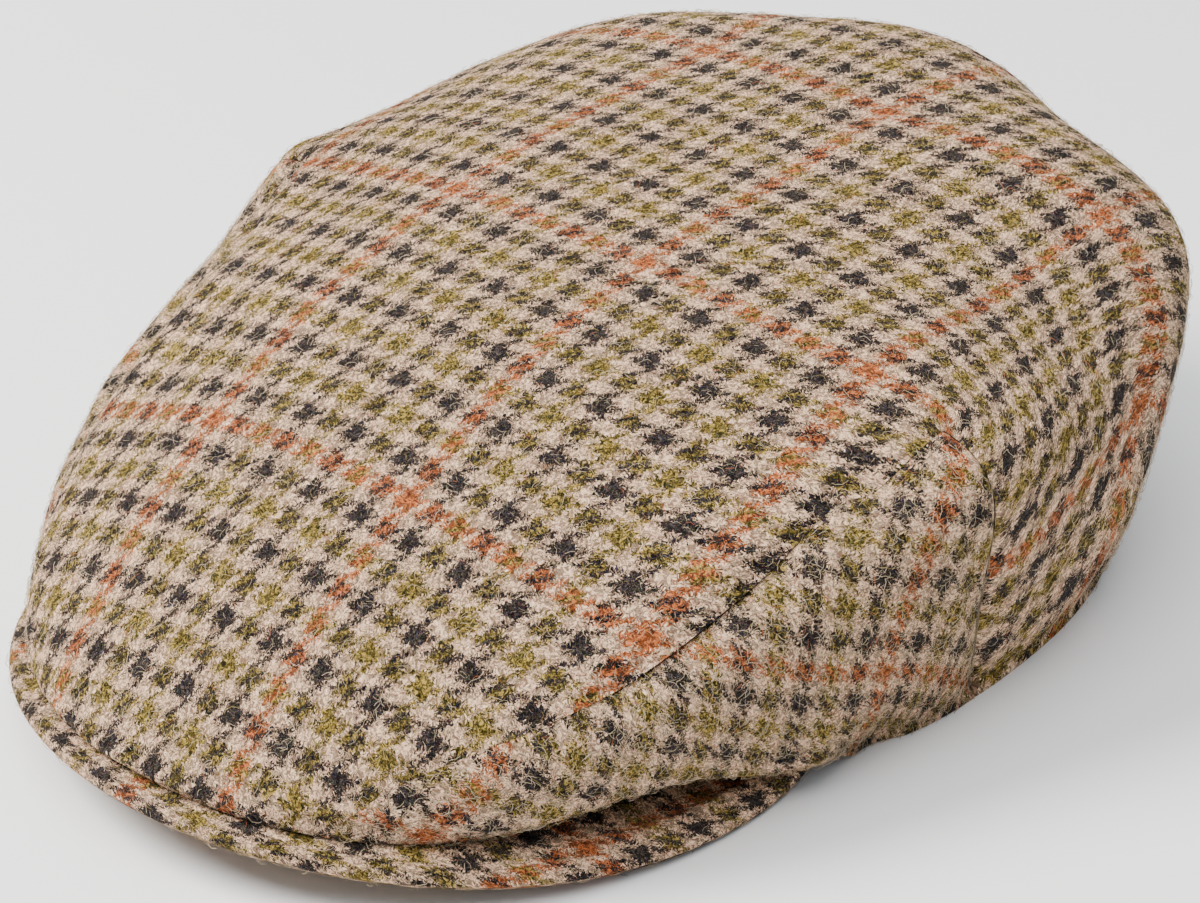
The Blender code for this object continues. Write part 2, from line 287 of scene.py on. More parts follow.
def section(turn):
    """Radius and height of every step of a section, from the apex to the lower edge."""
    reach = shoulder_radius(turn)
    ahead = math.cos(math.radians(turn))
    lift = TOP_RISE * folds(turn, 3)
    line = []
    for step in range(STEPS + 1):
        angle = math.pi / 2 * step / STEPS
        out = math.sin(angle) ** (2 / TOP_FULLNESS)
        up = math.cos(angle) ** (2 / TOP_FLATNESS)
        line.append((reach * out, shoulder_height(reach * out * ahead) + lift * out ** 4 + TOP_RISE * up))
    top = line[-1][1]
    foot_radius, foot = lower_edge(turn)
    band = min(RIM_BAND, (top - foot) / 2)
    for step in range(1, STEPS // 2 + 1):
        down = 2 * step / STEPS
        radius = foot_radius + (reach - foot_radius) * (1 - down ** WALL_FULLNESS)
        line.append((radius, top + (foot + band - top) * down))
    line.append((foot_radius, foot))
    return np.array(line)


def crown_table():
    """Radius and height of the crown at even turns and even shares of each section."""
    table = np.zeros((TURNS + 1, SHARES + 1, 2))
    shares = np.linspace(0, 1, SHARES + 1)
    for index in range(TURNS + 1):
        line = section(index * 360 / TURNS)
        runs = np.concatenate([[0], np.cumsum(np.hypot(*np.diff(line, axis=0).T))])
        place = shares * runs[-1]
        ease = np.clip(np.minimum(place, runs[-1] - RIM_BAND - place), 0, BEND_EASE)
        for step in range(-EASE_STEPS, EASE_STEPS + 1):
            at = place + ease * step / EASE_STEPS
            for column in (0, 1):
                table[index, :, column] += np.interp(at, runs, line[:, column]) / (2 * EASE_STEPS + 1)
    return table


CROWN = crown_table()


def on_crown(places):
    """Points of the crown's outside at places given by their shares across and along."""
    across, along = places[..., 0], places[..., 1]
    share = np.clip(np.hypot(across, along), 0, 1) * SHARES
    turn = np.arctan2(across, -along)
    at = np.mod(turn, 2 * math.pi) / (2 * math.pi) * TURNS
    row, column = np.minimum(at.astype(int), TURNS - 1), np.minimum(share.astype(int), SHARES - 1)
    down, right = (at - row)[..., None], (share - column)[..., None]
    near = CROWN[row, column] * (1 - right) + CROWN[row, column + 1] * right
    far = CROWN[row + 1, column] * (1 - right) + CROWN[row + 1, column + 1] * right
    radius, height = np.moveaxis(near * (1 - down) + far * down, -1, 0)
    return np.stack([radius * np.sin(turn), APEX_Y - radius * np.cos(turn), height], -1)


def worn(points, places, side):
    """The drawn form with this cap's own small uneven places; side is 1 left, -1 right."""
    turn = np.degrees(np.arctan2(places[..., 0], -places[..., 1])) * side
    share = np.hypot(places[..., 0], places[..., 1])
    way = np.stack([np.sin(np.radians(turn)), -np.cos(np.radians(turn)), 0 * turn], -1)
    moved = points.copy()
    for at, spread, part, part_spread, out, up in CROWN_MOVES:
        much = bump((turn - at + 180) % 360 - 180, 0, spread) * bump(share, part, part_spread)
        moved += way * (much * out * MM)[..., None]
        moved[..., 2] += much * up * MM * fade(*RISE_FREE, points[..., 2])
    return moved


# ---------------------------------------------------------------- cutting the panels

def even(count, start=0.0, end=1.0):
    return [start + (end - start) * step / count for step in range(count + 1)]


def place(across, along):
    return np.array([across, along], float)


def blend(start, end, t):
    return start + (end - start) * t


def at_edge(turn):
    return place(math.sin(math.radians(turn)), -math.cos(math.radians(turn)))


def nudge(spot, across, along):
    """A place moved by two distances in metres over the cloth."""
    step = 0.005
    here = on_crown(spot)
    per_across = np.linalg.norm(on_crown(spot - place(step, 0)) - here) / step
    per_along = np.linalg.norm(on_crown(spot + place(0, step)) - here) / step
    return spot + place(across / per_across, along / per_along)


def seam_place(seam, share):
    return place(through(seam, 1, share), through(seam, 2, share))


def top_seam(share, side):
    """The seam between top and side panel; side is -1 for the top panel and 1 for the side panel."""
    gap = side * SEAM_GAP / 2
    return nudge(seam_place(SEAM, share), gap, -gap * share)


def down_seam(share, side):
    """The seam down the wall, the same way."""
    gap = side * (SEAM_GAP + (DOWN_GAP - SEAM_GAP) * fade(*DOWN_OPENS, share)) / 2
    return nudge(seam_place(DOWN_SEAM, share), gap * (1 - share), -gap)


def four_sided(low, high, left, right, columns, rows):
    """Places inside four curves, for every column and row."""
    grid = np.zeros((len(columns), len(rows), 2))
    lefts, rights = [left(v) for v in rows], [right(v) for v in rows]
    corners = [low(0), low(1), high(0), high(1)]
    for i, u in enumerate(columns):
        bottom, top = low(u), high(u)
        for j, v in enumerate(rows):
            sides, ends = blend(lefts[j], rights[j], u), blend(bottom, top, v)
            middle = blend(blend(corners[0], corners[1], u), blend(corners[2], corners[3], u), v)
            grid[i, j] = sides + ends - middle
    return grid


# Steps of the grids, from 0 to 1: even ones, and closer ones beside the seams
FINE_SEAM = [0.972, 0.981, 0.988, 0.993, 0.997, 1.0]
FINE_FOOT = [0.0, 0.006, 0.014, 0.024, 0.036]
ACROSS_COUNT, ACROSS_LAST = 58, 0.962
WALL_COUNT, WALL_FIRST = 72, 0.038
SEAM_COUNT, SEAM_LAST, SEAM_CROWDING = 100, 0.985, 1.15
DOWN_COUNT, DOWN_FIRST, DOWN_LAST = 54, 0.05, 0.972
ACROSS_STEPS = even(ACROSS_COUNT, 0.0, ACROSS_LAST) + FINE_SEAM
WALL_ACROSS = [0.0] + [1 - share for share in FINE_SEAM[-2::-1]] + even(WALL_COUNT, WALL_FIRST, 1.0)
SEAM_STEPS = [SEAM_LAST * share ** SEAM_CROWDING for share in even(SEAM_COUNT)] + [0.991, 0.996, 1.0]
WALL_STEPS = FINE_FOOT + even(DOWN_COUNT, DOWN_FIRST, DOWN_LAST) + [0.984, 0.993, 1.0]
SIDE_START = 2
WELD = 0.00002


def top_places():
    """The places of the top panel's four blocks, for the wearer's left half."""
    inner = place(INNER_ACROSS, INNER_ALONG)
    corner = top_seam(1, -1)
    front = four_sided(
        lambda s: at_edge(TIP * s) if s < 1 else top_seam(0, -1),
        lambda s: place(corner[0] * s, corner[1]),
        lambda s: place(0, -1 + (1 + corner[1]) * s),
        lambda s: top_seam(s, -1),
        ACROSS_STEPS, SEAM_STEPS)
    u, v = np.meshgrid(ACROSS_STEPS, WALL_ACROSS, indexing="ij")
    side = blend(corner, inner, v[..., None])
    middle = np.stack([side[..., 0] * u, side[..., 1] + INNER_BOW * v * (1 - u * u)], -1)
    wall = four_sided(
        lambda s: blend(corner, inner, s),
        lambda s: at_edge(FOOT + (INNER_TURN - FOOT) * s) if s > 0 else down_seam(1, -1),
        lambda s: down_seam(s, -1),
        lambda s: blend(inner, at_edge(INNER_TURN), s),
        WALL_ACROSS, WALL_STEPS)
    back = np.zeros((len(ACROSS_STEPS), len(WALL_STEPS), 2))
    for i, u in enumerate(ACROSS_STEPS):
        start = place(INNER_ACROSS * u, INNER_ALONG + INNER_BOW * (1 - u * u))
        end = at_edge(180 + (INNER_TURN - 180) * u)
        for j, v in enumerate(WALL_STEPS):
            back[i, j] = blend(start, end, v)
    return [front, middle, wall, back]


def side_places():
    """The places of the wearer's left side panel."""
    start = SEAM_STEPS[SIDE_START]
    tip = TIP + TIP_SHORT
    columns = [(share - start) / (1 - start) for share in SEAM_STEPS[SIDE_START:]]
    return [four_sided(
        lambda s: top_seam(start + (1 - start) * s, 1),
        lambda s: at_edge(tip + (FOOT - tip) * s) if s < 1 else down_seam(1, 1),
        lambda s: blend(top_seam(start, 1), at_edge(tip), s),
        lambda s: down_seam(s, 1),
        columns, WALL_STEPS)]


def sewn_sheet(name, blocks, sides):
    """One open sheet from blocks of places, for each side asked for (1 left, -1 right)."""
    bm = bmesh.new()
    for side in sides:
        for block in blocks:
            points = on_crown(block)
            points[..., 0] *= side
            points = worn(points, block, side)
            verts = [[bm.verts.new(point) for point in row] for row in points]
            for low, high in zip(verts, verts[1:]):
                for a, b, c, d in zip(low, high, high[1:], low[1:]):
                    bm.faces.new((a, b, c, d))
    bmesh.ops.remove_doubles(bm, verts=bm.verts[:], dist=WELD)
    bmesh.ops.recalc_face_normals(bm, faces=bm.faces[:])
    if max(bm.faces, key=lambda face: face.calc_center_median().z).normal.z < 0:
        bmesh.ops.reverse_faces(bm, faces=bm.faces[:])
    for face in bm.faces:
        face.smooth = True
    mesh = bpy.data.meshes.new(name)
    bm.to_mesh(mesh)
    bm.free()
    piece = bpy.data.objects.new(name, mesh)
    bpy.context.scene.collection.objects.link(piece)
    return piece


# ---------------------------------------------------------------- shaping the cloth

def points_of(mesh):
    points = np.zeros(len(mesh.vertices) * 3)
    mesh.vertices.foreach_get("co", points)
    return points.reshape(-1, 3)


def normals_of(mesh):
    normals = np.zeros(len(mesh.vertices) * 3)
    mesh.vertices.foreach_get("normal", normals)
    return normals.reshape(-1, 3)


def line_points(locate, side, count=160):
    places = np.array([locate(share) for share in even(count)])
    return worn(on_crown(places) * [side, 1, 1], places, side)


def from_line(points, line):
    """Distance of every point from a line, and how far along the line it is (0 to 1)."""
    best = np.full(len(points), 1e9)
    along = np.zeros(len(points))
    for index, (start, end) in enumerate(zip(line, line[1:])):
        run = end - start
        t = np.clip((points - start) @ run / (run @ run), 0, 1)
        distance = np.linalg.norm(points - start - t[:, None] * run, axis=1)
        closer = distance < best
        best[closer] = distance[closer]
        along[closer] = ((index + t) / (len(line) - 1))[closer]
    return best, along


WAVE_COUNT, WAVE_LEAST, WAVE_MOST = 9, 0.7, 1.4


def waves(points, size, seed):
    """Soft uneven waves, mostly between -1 and 1, the same on every run."""
    rng = np.random.default_rng(seed)
    total = np.zeros(len(points))
    for _ in range(WAVE_COUNT):
        way = rng.normal(size=3)
        way *= 2 * math.pi / size / np.linalg.norm(way) * rng.uniform(WAVE_LEAST, WAVE_MOST)
        total += np.sin(points @ way + rng.uniform(0, 2 * math.pi))
    return total / 4


def roll(distance, width):
    """Depth of an edge turned down round a small radius: 1 at the edge, 0 past the width."""
    inside = np.clip(1 - distance / width, 0, 1)
    return 1 - np.sqrt(np.clip(1 - inside ** 2, 0, 1))


# How far each panel's edge goes in: along the seam, where the seam is slack, and down the wall
TOP_EDGE = (0.24 * MM, 0.9 * MM, 1.7 * MM)
SIDE_EDGE = (0.30 * MM, 1.7 * MM, 2.4 * MM)
TUCK_WIDTH, TUCK_ROUND = 2.2 * MM, 1.5
# Soft grooves and puffs beside the seams: depth or height, distance from the seam, width
SEAM_GROOVE = (0.45 * MM, 0, 3.2 * MM)
DOWN_GROOVE = (1.1 * MM, 0, 4.5 * MM)
STITCH_PULL = (0.25 * MM, 2.5 * MM, 2.5 * MM)
SEAM_PUFF = (0.5 * MM, 6.0 * MM, 4.0 * MM)
CORNER_PUFF = (0.8 * MM, 2.6 * MM, 2.2 * MM)
LIP_GROOVE = (0.40 * MM, 4.2 * MM, 1.1 * MM)
LIP_ROLL = (0.35 * MM, 2.0 * MM, 1.3 * MM)
# Places along the seam, 0 at the tip and 1 at the corner: middle and spread
SLACK_PLACE, CORNER_PLACE = (0.56, 0.14), (0.93, 0.05)
SLACK_WIDTH, ROLL_WIDTH = 4.5 * MM, 2.4 * MM
STITCH_BEAT, STITCH_DRIFT = 260, 37
# Shares of the two seams over which these grow, or end, and how much is left of them there
TUCK_START, TUCK_END, TUCK_LEFT = (0.0, 0.06), (0.7, 0.9), 0.5
GROOVE_START, PUFF_START, DOWN_START = (0.1, 0.4), (0.05, 0.3), (0.2, 0.7)
DRAWN_START, DRAWN_LEAST = (0.15, 0.45), 0.35
DRAWN_END, DRAWN_LEFT = (0.85, 1), 0.5
# Unevenness of the cloth: height, size of the waves, seed
SEAM_WAVES, SEAM_EVEN = (0.35, 24 * MM, 3), 0.75
WIDE_WAVES = (0.35 * MM, 38 * MM, 5)
FINE_WAVES = (0.12 * MM, 13 * MM, 8)
HEM_CALM, HEM_LEFT, HEM_ROLL, HEM_WIDTH = 2 * MM, 0.1, 0.5 * MM, 2.0 * MM
# Degrees from the front over which the rolled lip ends
LIP_END = (48, 62)
# Cloth edges that turn more sharply than this are shaded as edges, not as one round surface
HEM_ANGLE = math.radians(50)


def ridge(distance, shape):
    """A soft ridge or groove that runs beside a line."""
    height, middle, width = shape
    return height * bump(distance, middle, width)


def uneven_by(points, shape):
    """Waves of a given height, size and seed."""
    height, size, seed = shape
    return height * waves(points, size, seed)


def shape_cloth(piece, edge_depths):
    """Turns the edges down into the seams and gives the cloth its soft unevenness."""
    tucked, slack_depth, rolled = edge_depths
    mesh = piece.data
    points, normals = points_of(mesh), normals_of(mesh)
    depth = np.zeros(len(points))
    for side in (1, -1):
        here = points[:, 0] * side > 0
        seam, along = from_line(points, SEAM_LINES[side])
        down, fall = from_line(points, DOWN_LINES[side])
        uneven = SEAM_EVEN + uneven_by(points, SEAM_WAVES)
        tuck = tucked * fade(*TUCK_START, along) * (1 - (1 - TUCK_LEFT) * fade(*TUCK_END, along))
        depth += here * tuck * np.clip(1 - seam / TUCK_WIDTH, 0, 1) ** TUCK_ROUND
        depth += here * uneven * fade(*GROOVE_START, along) * ridge(seam, SEAM_GROOVE)
        depth += here * slack_depth * bump(along, *SLACK_PLACE) * bump(seam, 0, SLACK_WIDTH)
        drawn = DRAWN_LEAST + (1 - DRAWN_LEAST) * fade(*DRAWN_START, fall)
        drawn *= 1 - (1 - DRAWN_LEFT) * fade(*DRAWN_END, fall)
        depth += here * rolled * roll(down, ROLL_WIDTH) * drawn
        depth += here * fade(*DOWN_START, fall) * ridge(down, DOWN_GROOVE)
        pull = 0.5 + 0.5 * np.sin(along * STITCH_BEAT + 3 * np.sin(along * STITCH_DRIFT))
        depth += here * pull * ridge(seam, STITCH_PULL)
        depth -= here * fade(*PUFF_START, along) * ridge(seam, SEAM_PUFF)
        if edge_depths is TOP_EDGE:
            depth -= here * bump(along, *CORNER_PLACE) * ridge(seam, CORNER_PUFF)
    depth -= uneven_by(points, WIDE_WAVES) + uneven_by(points, FINE_WAVES)
    edge = np.minimum(from_line(points, EDGE_LINES[1])[0], from_line(points, EDGE_LINES[-1])[0])
    depth *= fade(0, HEM_CALM, edge) * (1 - HEM_LEFT) + HEM_LEFT
    depth += HEM_ROLL * roll(edge, HEM_WIDTH)
    # the rolled front lip, with the shallow groove of its stitching behind it
    ahead = np.degrees(np.arctan2(np.abs(points[:, 0]), APEX_Y - points[:, 1]))
    depth += (1 - fade(*LIP_END, ahead)) * (ridge(edge, LIP_GROOVE) - ridge(edge, LIP_ROLL))
    moved = points - normals * depth[:, None]
    mesh.vertices.foreach_set("co", moved.ravel())
    mesh.update()


def thicken(piece, thickness):
    """Gives the sheet its wall, inward from the outside that was drawn."""
    shell = piece.modifiers.new("Cloth wall", "SOLIDIFY")
    shell.thickness = thickness
    shell.offset = -1


def unwrap(piece):
    """Lays the sheet flat with little stretch, as it was before it was sewn."""
    bpy.ops.object.select_all(action="DESELECT")
    piece.select_set(True)
    bpy.context.view_layer.objects.active = piece
    piece.data.uv_layers.new(name="Weave")
    bpy.ops.object.mode_set(mode="EDIT")
    bpy.ops.mesh.select_all(action="SELECT")
    bpy.ops.uv.unwrap(method="MINIMUM_STRETCH", iterations=4, margin=0)
    bpy.ops.object.mode_set(mode="OBJECT")


CHECK_SLACK = 0.5


def ease_between(spots, gaps, everywhere, slack):
    """Spreads the gaps known at a few spots smoothly over every point."""
    def bend(away):
        return away ** 2 * np.log(np.maximum(away, 1e-9))

    near = np.linalg.norm(spots[:, None] - spots[None], axis=2)
    plane = np.hstack([np.ones((len(spots), 1)), spots])
    system = np.block([[bend(near) + slack * np.eye(len(spots)), plane], [plane.T, np.zeros((3, 3))]])
    weights = np.linalg.solve(system, np.concatenate([gaps, np.zeros(3)]))
    far = np.linalg.norm(everywhere[:, None] - spots[None], axis=2)
    return bend(far) @ weights[:-3] + weights[-3] + everywhere @ weights[-2:]


def lay_check(piece, pins, side):
    """Turns the flat sheet and eases it so that every pinned spot gets its place in the check."""
    mesh = piece.data
    layer = mesh.uv_layers["Weave"]
    flat = np.zeros(len(mesh.loops) * 2)
    layer.data.foreach_get("uv", flat)
    flat = flat.reshape(-1, 2)
    owner = np.zeros(len(mesh.loops), int)
    mesh.loops.foreach_get("vertex_index", owner)
    points = points_of(mesh)
    areas = np.zeros(len(mesh.polygons))
    mesh.polygons.foreach_get("area", areas)
    after = np.arange(len(mesh.loops)) + 1
    starts = np.zeros(len(areas), int)
    mesh.polygons.foreach_get("loop_start", starts)
    after[np.append(starts[1:], len(mesh.loops)) - 1] = starts
    signed = 0.5 * (flat[:, 0] * flat[after, 1] - flat[after, 0] * flat[:, 1]).sum()
    flat = flat * math.sqrt(areas.sum() / abs(signed)) / REPEAT
    if signed < 0:
        flat = flat * [-1, 1]
    turns = np.radians([pin[0] for pin in pins])
    shares = np.array([pin[1] for pin in pins])
    where = on_crown(np.stack([shares * np.sin(turns), -shares * np.cos(turns)], -1)) * [side, 1, 1]
    corner = [np.argmin(np.linalg.norm(points - spot, axis=1)) for spot in where]
    first = {vertex: loop for loop, vertex in reversed(list(enumerate(owner.tolist())))}
    spots = flat[[first[vertex] for vertex in corner]]
    both = [index for index, pin in enumerate(pins) if None not in pin[2:]]
    wanted = np.array([pins[index][2:] for index in both], float)
    centre, aim = spots[both].mean(0), wanted.mean(0)
    x, y = (spots[both] - centre).T, (wanted - aim).T
    turn = math.atan2((x[0] * y[1] - x[1] * y[0]).sum(), (x[0] * y[0] + x[1] * y[1]).sum())
    c, s = math.cos(turn), math.sin(turn)
    spin = np.array([[c, s], [-s, c]])
    laid, spots = (flat - centre) @ spin + aim, (spots - centre) @ spin + aim
    eased = laid.copy()
    for axis in (0, 1):
        known = [index for index, pin in enumerate(pins) if pin[2 + axis] is not None]
        gaps = np.array([pins[index][2 + axis] for index in known]) - spots[known, axis]
        eased[:, axis] += ease_between(spots[known], gaps, laid, CHECK_SLACK)
    layer.data.foreach_set("uv", eased.ravel())


# ---------------------------------------------------------------- the peak

PEAK_TURNS, PEAK_ROWS, PEAK_ROUND = 240, 44, 14
EDGE_NOTCH = 0.25 * MM
EDGE_FULL = 0.8 * MM
HOLLOW = 2.0 * MM
# Degrees before each tip where the fuller edge ends, and where the board thins to its tip
FULL_END, TIP_END, TIP_LEAST = 6, 2.5, 0.02
LEAST_FLAT = 0.2 * MM
# The notch of the hem round the edge: where, from 1 at the top to -1 below, and its spread
NOTCH_PLACE, NOTCH_SPREAD = -0.5, 0.14
# The hollow under the crown's fold: degrees from the front, their spread, distances from the edge
HOLLOW_TURN, HOLLOW_SPREAD, HOLLOW_RUN = 42, 12, (5 * MM, 10 * MM)
# Shares of the half circle at which the check passes to the underside, at the edge and inside
OUTER_TURN, BACK_TURN = 0.66, 0.5


def peak_loop(turn):
    """Points of one cross-section of the peak, and their places in the check, as a closed loop."""
    inner = peak_inside(turn)
    outer = peak_radius(turn) + EDGE_FULL * (1 - fade(PEAK_END - FULL_END, PEAK_END, abs(turn)))
    close = math.sqrt(max(1 - fade(PEAK_END - TIP_END, PEAK_END, abs(turn)) ** 2, TIP_LEAST))
    half = PEAK_THICK / 2
    length = outer - inner
    way = np.array([math.sin(math.radians(turn)), -math.cos(math.radians(turn))])
    bend = min(half, length / 2 - LEAST_FLAT)
    flats = [inner + bend + (length - 2 * bend) * share for share in even(PEAK_ROWS)]
    turns = [math.pi * step / PEAK_ROUND for step in range(1, PEAK_ROUND)]
    # radius, height from 1 to -1, run round the edge, and 1 where the cloth is the underside's
    rows = [(radius, 1.0, 0.0, 0) for radius in flats]
    rows += [(outer - bend + bend * math.sin(t), math.cos(t), half * t, int(t >= OUTER_TURN * math.pi))
             for t in turns]
    rows += [(radius, -1.0, 0.0, 1) for radius in reversed(flats)]
    rows += [(inner + bend - bend * math.sin(t), -math.cos(t), -half * t, int(t < BACK_TURN * math.pi))
             for t in turns]
    loop, check = [], []
    for radius, up, run, under in rows:
        radius -= EDGE_NOTCH * bump(up, NOTCH_PLACE, NOTCH_SPREAD) * (run > 0)
        x, y = radius * way[0], APEX_Y + radius * way[1]
        z = peak_height(x) + half + half * up * close
        if up > 0:
            z -= HOLLOW * bump(abs(turn), HOLLOW_TURN, HOLLOW_SPREAD) * fade(*HOLLOW_RUN, outer - radius)
        loop.append((x, y, z))
        side = -1 if under else 1
        reach = run if not under else (half * math.pi - run if run > 0 else -(half * math.pi + run))
        flat = np.array([x, y]) + way * (reach if run else 0)
        a = flat[0] * math.cos(PEAK_SKEW) - flat[1] * math.sin(PEAK_SKEW) - PEAK_LINE[0]
        b = flat[0] * math.sin(PEAK_SKEW) + flat[1] * math.cos(PEAK_SKEW) - PEAK_LINE[1]
        check.append((a * side / REPEAT, b / REPEAT, under))
    return loop, check


def peak_board():
    """The covered board, swept round from tip to tip."""
    bm = bmesh.new()
    layer = bm.loops.layers.uv.new("Weave")
    ring, places_in_check = [], []
    for step in range(PEAK_TURNS + 1):
        loop, check = peak_loop(PEAK_END * (2 * step / PEAK_TURNS - 1))
        ring.append([bm.verts.new(point) for point in loop])
        places_in_check.append(check)
    count = len(ring[0])
    for low, high, first, second in zip(ring, ring[1:], places_in_check, places_in_check[1:]):
        for index in range(count):
            after = (index + 1) % count
            face = bm.faces.new((low[index], low[after], high[after], high[index]))
            side = first[index][2]
            for corner, spot in zip(face.loops, (first[index], first[after], second[after], second[index])):
                a, b = spot[0], spot[1]
                if spot[2] != side:
                    a = -a
                corner[layer].uv = (a, b)
    for loop in (ring[0], ring[-1]):
        bm.faces.new(loop)
    bmesh.ops.recalc_face_normals(bm, faces=bm.faces[:])
    for face in bm.faces:
        face.smooth = True
    mesh = bpy.data.meshes.new("peak_cover")
    bm.to_mesh(mesh)
    bm.free()
    piece = bpy.data.objects.new("peak_cover", mesh)
    bpy.context.scene.collection.objects.link(piece)
    return piece


# ---------------------------------------------------------------- cloth material

class Maths:
    """A socket that plain Python operators build Math nodes on."""

    def __init__(self, cloth, socket):
        self.cloth, self.socket = cloth, socket

    def calculate(self, operation, *others):
        return self.cloth.node("ShaderNodeMath", {"operation": operation}, (self, *others))

    def __rsub__(self, other):
        return self.cloth.node("ShaderNodeMath", {"operation": "SUBTRACT"}, (other, self))

    def __add__(self, other): return self.calculate("ADD", other)
    def __radd__(self, other): return self.calculate("ADD", other)
    def __sub__(self, other): return self.calculate("SUBTRACT", other)
    def __mul__(self, other): return self.calculate("MULTIPLY", other)
    def __rmul__(self, other): return self.calculate("MULTIPLY", other)
    def __truediv__(self, other): return self.calculate("DIVIDE", other)
    def __mod__(self, other): return self.calculate("FLOORED_MODULO", other)
    def __gt__(self, other): return self.calculate("GREATER_THAN", other)
    def __lt__(self, other): return self.calculate("LESS_THAN", other)
    def floor(self): return self.calculate("FLOOR")
    def size(self): return self.calculate("ABSOLUTE")


class Nodes:
    """A node tree with one way to add any node."""

    def __init__(self, owner):
        owner.use_nodes = True
        self.tree = owner.node_tree
        self.tree.nodes.clear()

    def node(self, kind, settings=None, inputs=(), output=0):
        made = self.tree.nodes.new(kind)
        for name, value in (settings or {}).items():
            setattr(made, name, value)
        given = inputs.items() if isinstance(inputs, dict) else enumerate(inputs)
        for name, value in given:
            if isinstance(value, Maths):
                self.tree.links.new(value.socket, made.inputs[name])
            elif value is not None:
                made.inputs[name].default_value = value
        return Maths(self, made.outputs[output]) if made.outputs else None

    def split(self, vector):
        parts = self.node("ShaderNodeSeparateXYZ", {}, (vector,))
        outputs = parts.socket.node.outputs
        return [Maths(self, outputs[index]) for index in range(3)]

    def join(self, *parts):
        return self.node("ShaderNodeCombineXYZ", {}, parts)


class Cloth(Nodes):
    """A material."""

    def __init__(self, name):
        self.material = bpy.data.materials.new(name)
        super().__init__(self.material)

    def mix(self, factor, first, second, way="MIX"):
        """Two colours mixed."""
        inputs = {0: factor, 6: self.colour(first), 7: self.colour(second)}
        return self.node("ShaderNodeMix", {"data_type": "RGBA", "blend_type": way}, inputs, 2)

    def clamp(self, value, most):
        return self.node("ShaderNodeClamp", {}, (value, 0.0, most))

    def colour(self, value):
        return value if isinstance(value, Maths) else (*value, 1.0)

    def noise(self, spot, scale, detail=2.0, distortion=0.0, output=0, rough=0.5):
        return self.node("ShaderNodeTexNoise", {}, {
            "Vector": spot, "Scale": scale, "Detail": detail, "Distortion": distortion,
            "Roughness": rough}, output)


# Dyes of the yarns, each with the tones that it is heathered with
CREAM = (0.95, 0.68, 0.46)
CREAM_ROSE = (0.56, 0.33, 0.22)
BRAN = (0.26, 0.175, 0.085)
NAVY = (0.008, 0.007, 0.015)
TEAL = (0.008, 0.015, 0.014)
MAROON = (0.050, 0.007, 0.013)
OLIVE = (0.100, 0.072, 0.010)
MUSTARD = (0.38, 0.255, 0.055)
MOSS = (0.025, 0.027, 0.006)
SLATE = (0.028, 0.027, 0.042)
RUST = (0.46, 0.12, 0.035)
RUST_DARK = (0.16, 0.035, 0.016)
PALE_FIBRE = (0.62, 0.47, 0.27)

# A repeat has eight yarns each way, in a twill over two and under two
YARNS, TWILL, TWILL_UP = 8, 4, 1.5
# Ways in which the loose fibres lie, in degrees, and how long and how fine they are across a repeat
FIBRE_WAYS, FIBRE_RUN, FIBRE_OVER = (12, 74, 133), 5.0, 22.0
# How far yarns wander and fibres stray, in yarns, and how far fibres curl, in repeats
WANDER, STRAY, CURL = 0.75, 4.0, 0.17
# How fine the uneven patterns are across a repeat
WANDER_FINE, CURL_FINE, FLECK_FINE, GRAIN_FINE, THIN_FINE = 1.6, 7.0, 11.0, 30.0, 17.0
# Pale fibres on top: how fine they are, and how much they show
PALE_FINE, PALE_SHARE = 32, 0.20
# The painted shade between fibres and painted light on their tops, multiplied into the colour: its middle,
# what the grain and the fibres' lie add, and the lightest tone
SHADE, SHADE_GRAIN, SHADE_LIE, LIGHTEST, SHADE_MOST = 0.48, 3.6, 5.8, 1.37, 0.92
# Relief: how far yarns, grain and fibres rise, against one height
YARN_RISE, GRAIN_RISE, LIE_RISE = 0.25, 1.6, 1.3
RELIEF = 0.4 * MM


def past(value, start, sharpness):
    """How much of a tone shows where a value passes its start."""
    return (value - start) * sharpness


